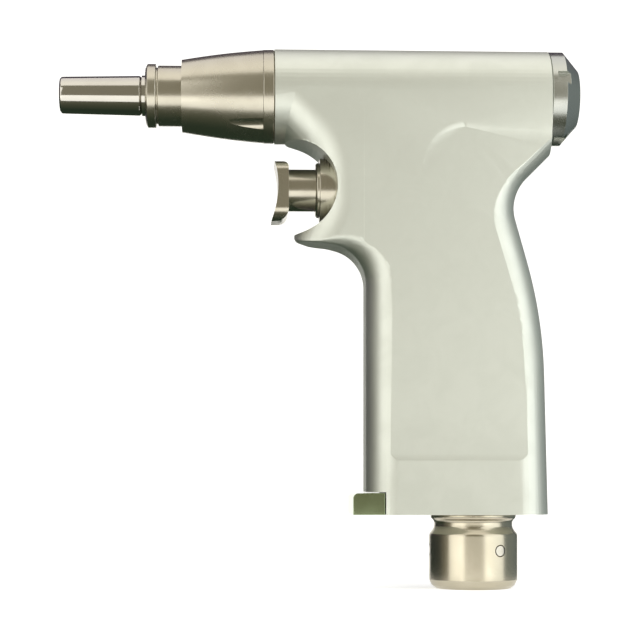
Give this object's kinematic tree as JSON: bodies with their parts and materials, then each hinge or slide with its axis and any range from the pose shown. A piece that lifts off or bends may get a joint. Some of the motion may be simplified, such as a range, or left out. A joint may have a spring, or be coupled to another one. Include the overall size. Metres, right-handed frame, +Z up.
{
  "type": "surgical power drill",
  "caption": "Pistol-grip pneumatic surgical drill with planetary drive, quick-release tool coupling, spring trigger, sliding selector and hose connector.",
  "frame": {"origin": "on the hose connector's axis at its bottom rim", "axes": "-X along the barrel towards the tool end, +Z up the handle, Y across the handpiece"},
  "size_m": [0.1548, 0.028, 0.1614],
  "materials": {
    "satin_housing": "bead-blasted satin",
    "polished_steel": "polished",
    "satin_steel": "fine satin",
    "blue_grey_steel": "satin",
    "hard_steel": "ground",
    "bronze": "sintered",
    "black_rubber": "matte",
    "vane_composite": "matte",
    "grey_steel": "satin"
  },
  "bodies": {
    "handpiece": {"body_housing": "satin_housing", "nose_cone": "satin_steel", "nose_lock_ring": "satin_steel", "rear_cap": "blue_grey_steel", "rear_cap_seal": "black_rubber", "spindle_bush_front": "bronze", "spindle_bush_rear": "bronze", "ring_gear": "hard_steel", "motor_front_plate": "hard_steel", "motor_cylinder": "hard_steel", "motor_rear_plate": "hard_steel", "rotor_bearing_front": "bronze", "rotor_bearing_rear": "bronze", "motor_spacer": "hard_steel", "trigger_bushing": "satin_steel", "valve_seat": "bronze", "trigger_spring": "hard_steel", "detent_ball": "hard_steel", "detent_plug": "hard_steel", "hose_spigot": "satin_steel", "spigot_pins": "polished_steel"},
    "tool_spindle": {"spindle": "polished_steel", "coupling_nose": "polished_steel", "locking_balls": "hard_steel", "spring_seat_ring": "hard_steel", "output_planet_pins": "hard_steel", "collar_spring": "hard_steel"},
    "coupling_collar": {"release_collar": "satin_steel"},
    "first_stage": {"first_carrier": "hard_steel", "input_planet_pins": "hard_steel"},
    "motor_rotor": {"rotor": "hard_steel", "motor_vanes": "vane_composite"},
    "trigger_unit": {"trigger": "satin_steel", "valve_stem": "hard_steel"},
    "selector": {"selector_slide": "grey_steel"},
    "output_planet_gear_1": {"output_planet_1": "hard_steel"},
    "output_planet_gear_2": {"output_planet_2": "hard_steel"},
    "output_planet_gear_3": {"output_planet_3": "hard_steel"},
    "input_planet_gear_1": {"input_planet_1": "hard_steel"},
    "input_planet_gear_2": {"input_planet_2": "hard_steel"},
    "input_planet_gear_3": {"input_planet_3": "hard_steel"}
  },
  "joints": [
    {"name": "spindle_spin", "type": "hinge", "parent": "handpiece", "child": "tool_spindle", "pos_m": [0, 0, 0.1474], "axis": [1, 0, 0], "continuous": true},
    {"name": "collar_pull", "type": "slide", "parent": "tool_spindle", "child": "coupling_collar", "axis": [1, 0, 0], "range_m": [0, 0.005], "stiffness_N_per_m": 800, "springref_m": -0.006, "deforming": ["collar_spring"]},
    {"name": "first_carrier_spin", "type": "hinge", "parent": "handpiece", "child": "first_stage", "pos_m": [0, 0, 0.1474], "axis": [1, 0, 0], "continuous": true},
    {"name": "rotor_spin", "type": "hinge", "parent": "handpiece", "child": "motor_rotor", "pos_m": [0, 0, 0.1474], "axis": [1, 0, 0], "continuous": true},
    {"name": "trigger_press", "type": "slide", "parent": "handpiece", "child": "trigger_unit", "axis": [1, 0, 0], "range_m": [0, 0.006], "stiffness_N_per_m": 900, "springref_m": -0.004, "deforming": ["trigger_spring"]},
    {"name": "selector_shift", "type": "slide", "parent": "handpiece", "child": "selector", "axis": [0, 1, 0], "range_m": [-0.004, 0.004]},
    {"name": "output_planet_1_spin", "type": "hinge", "parent": "tool_spindle", "child": "output_planet_gear_1", "pos_m": [-0.0468, 0, 0.15415], "axis": [1, 0, 0], "continuous": true},
    {"name": "output_planet_2_spin", "type": "hinge", "parent": "tool_spindle", "child": "output_planet_gear_2", "pos_m": [-0.0468, -0.00585, 0.14402], "axis": [1, 0, 0], "continuous": true},
    {"name": "output_planet_3_spin", "type": "hinge", "parent": "tool_spindle", "child": "output_planet_gear_3", "pos_m": [-0.0468, 0.00585, 0.14402], "axis": [1, 0, 0], "continuous": true},
    {"name": "input_planet_1_spin", "type": "hinge", "parent": "first_stage", "child": "input_planet_gear_1", "pos_m": [-0.0364, 0, 0.15415], "axis": [1, 0, 0], "continuous": true},
    {"name": "input_planet_2_spin", "type": "hinge", "parent": "first_stage", "child": "input_planet_gear_2", "pos_m": [-0.0364, -0.00585, 0.14402], "axis": [1, 0, 0], "continuous": true},
    {"name": "input_planet_3_spin", "type": "hinge", "parent": "first_stage", "child": "input_planet_gear_3", "pos_m": [-0.0364, 0.00585, 0.14402], "axis": [1, 0, 0], "continuous": true}
  ],
  "couplings": [
    {"joint": "first_carrier_spin", "follows": "rotor_spin", "ratio": 0.22222},
    {"joint": "spindle_spin", "follows": "rotor_spin", "ratio": 0.049383},
    {"joint": "output_planet_1_spin", "follows": "rotor_spin", "ratio": -0.13827},
    {"joint": "output_planet_2_spin", "follows": "rotor_spin", "ratio": -0.13827},
    {"joint": "output_planet_3_spin", "follows": "rotor_spin", "ratio": -0.13827},
    {"joint": "input_planet_1_spin", "follows": "rotor_spin", "ratio": -0.62222},
    {"joint": "input_planet_2_spin", "follows": "rotor_spin", "ratio": -0.62222},
    {"joint": "input_planet_3_spin", "follows": "rotor_spin", "ratio": -0.62222}
  ]
}
